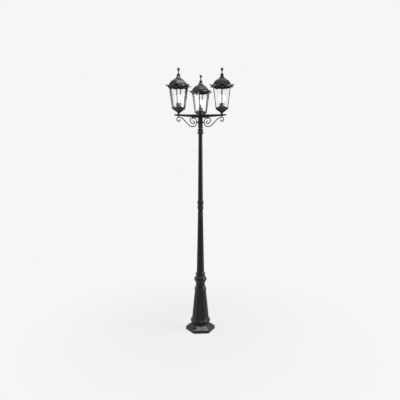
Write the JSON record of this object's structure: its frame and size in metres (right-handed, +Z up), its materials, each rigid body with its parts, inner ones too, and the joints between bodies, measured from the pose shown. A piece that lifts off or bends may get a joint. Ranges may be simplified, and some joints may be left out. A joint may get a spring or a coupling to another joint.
{
  "type": "lamp post",
  "caption": "Tall black garden lamp post with a fluted base, scrolled arms and six-sided glazed lanterns with unscrewing lamps and lift-off roofs.",
  "frame": {"origin": "on the post's axis, on the ground under the foot", "axes": "+Z up the post, -Y to the front between the two front arms, +X to the right seen from the front; the back arm points along +Y"},
  "size_m": [0.5829, 0.5559, 2.34],
  "materials": {
    "black_coat": "semi-gloss black powder coat on castings",
    "black_screw": "blackened steel",
    "steel": "zinc-plated steel",
    "brass": "plain brass",
    "porcelain": null,
    "block": "natural plastic",
    "cable": "black sheath",
    "pane_glass": "clear float glass",
    "lamp_glass": "clear glass, lit",
    "lamp_cap": "bright nickel-plated shell"
  },
  "bodies": {
    "post": {"base_plinth": "black_coat", "earth_stud": "brass", "base_column": "black_coat", "leaf_collar": "black_coat", "lower_post": "black_coat", "mid_coupling": "black_coat", "upper_post": "black_coat", "top_collar": "black_coat", "arm_hub": "black_coat", "hub_finial": "black_coat", "terminal_block": "block", "riser_cable": "cable", "grub_screws": "steel", "scroll_screws": "black_screw", "arm_1": "black_coat", "arm_2": "black_coat", "arm_3": "black_coat", "scroll_1": "black_coat", "scroll_2": "black_coat", "scroll_3": "black_coat", "ball_plugs": "black_coat", "arm_leads": "cable", "lantern_stems": "steel", "stem_nuts": "steel", "lampholder_1": "porcelain", "lampholder_2": "porcelain", "lampholder_3": "porcelain"},
    "lantern_1": {"lantern_cup_1": "black_coat", "lantern_cage_1": "black_coat", "glass_panes_1": "pane_glass", "pane_clips_1": "steel", "bridge_bar_1": "steel", "lantern_screws_1": "steel"},
    "roof_1": {"lantern_roof_1": "black_coat", "roof_crown_1": "black_coat"},
    "finial_1": {"roof_finial_1": "black_coat"},
    "lamp_1": {"lamp_glass_1": "lamp_glass", "lamp_cap_1": "lamp_cap"},
    "lantern_2": {"lantern_cup_2": "black_coat", "lantern_cage_2": "black_coat", "glass_panes_2": "pane_glass", "pane_clips_2": "steel", "bridge_bar_2": "steel", "lantern_screws_2": "steel"},
    "roof_2": {"lantern_roof_2": "black_coat", "roof_crown_2": "black_coat"},
    "finial_2": {"roof_finial_2": "black_coat"},
    "lamp_2": {"lamp_glass_2": "lamp_glass", "lamp_cap_2": "lamp_cap"},
    "lantern_3": {"lantern_cup_3": "black_coat", "lantern_cage_3": "black_coat", "glass_panes_3": "pane_glass", "pane_clips_3": "steel", "bridge_bar_3": "steel", "lantern_screws_3": "steel"},
    "roof_3": {"lantern_roof_3": "black_coat", "roof_crown_3": "black_coat"},
    "finial_3": {"roof_finial_3": "black_coat"},
    "lamp_3": {"lamp_glass_3": "lamp_glass", "lamp_cap_3": "lamp_cap"}
  },
  "joints": [
    {"name": "lantern_swivel_1", "type": "hinge", "parent": "post", "child": "lantern_1", "pos_m": [-0.18403, -0.10625, 1.947], "axis": [0, 0, 1], "range_deg": [-30, 30]},
    {"name": "roof_lift_1", "type": "slide", "parent": "lantern_1", "child": "roof_1", "axis": [0, 0, 1], "range_m": [0, 0.15]},
    {"name": "finial_turn_1", "type": "hinge", "parent": "roof_1", "child": "finial_1", "pos_m": [-0.18403, -0.10625, 2.28], "axis": [0, 0, 1], "range_deg": [0, 2520]},
    {"name": "lamp_turn_1", "type": "hinge", "parent": "post", "child": "lamp_1", "pos_m": [-0.18403, -0.10625, 2.01], "axis": [0, 0, 1], "range_deg": [0, 1080]},
    {"name": "lantern_swivel_2", "type": "hinge", "parent": "post", "child": "lantern_2", "pos_m": [0.18403, -0.10625, 1.947], "axis": [0, 0, 1], "range_deg": [-30, 30]},
    {"name": "roof_lift_2", "type": "slide", "parent": "lantern_2", "child": "roof_2", "axis": [0, 0, 1], "range_m": [0, 0.15]},
    {"name": "finial_turn_2", "type": "hinge", "parent": "roof_2", "child": "finial_2", "pos_m": [0.18403, -0.10625, 2.28], "axis": [0, 0, 1], "range_deg": [0, 2520]},
    {"name": "lamp_turn_2", "type": "hinge", "parent": "post", "child": "lamp_2", "pos_m": [0.18403, -0.10625, 2.01], "axis": [0, 0, 1], "range_deg": [0, 1080]},
    {"name": "lantern_swivel_3", "type": "hinge", "parent": "post", "child": "lantern_3", "pos_m": [0, 0.2125, 1.947], "axis": [0, 0, 1], "range_deg": [-30, 30]},
    {"name": "roof_lift_3", "type": "slide", "parent": "lantern_3", "child": "roof_3", "axis": [0, 0, 1], "range_m": [0, 0.15]},
    {"name": "finial_turn_3", "type": "hinge", "parent": "roof_3", "child": "finial_3", "pos_m": [0, 0.2125, 2.28], "axis": [0, 0, 1], "range_deg": [0, 2520]},
    {"name": "lamp_turn_3", "type": "hinge", "parent": "post", "child": "lamp_3", "pos_m": [0, 0.2125, 2.01], "axis": [0, 0, 1], "range_deg": [0, 1080]}
  ]
}
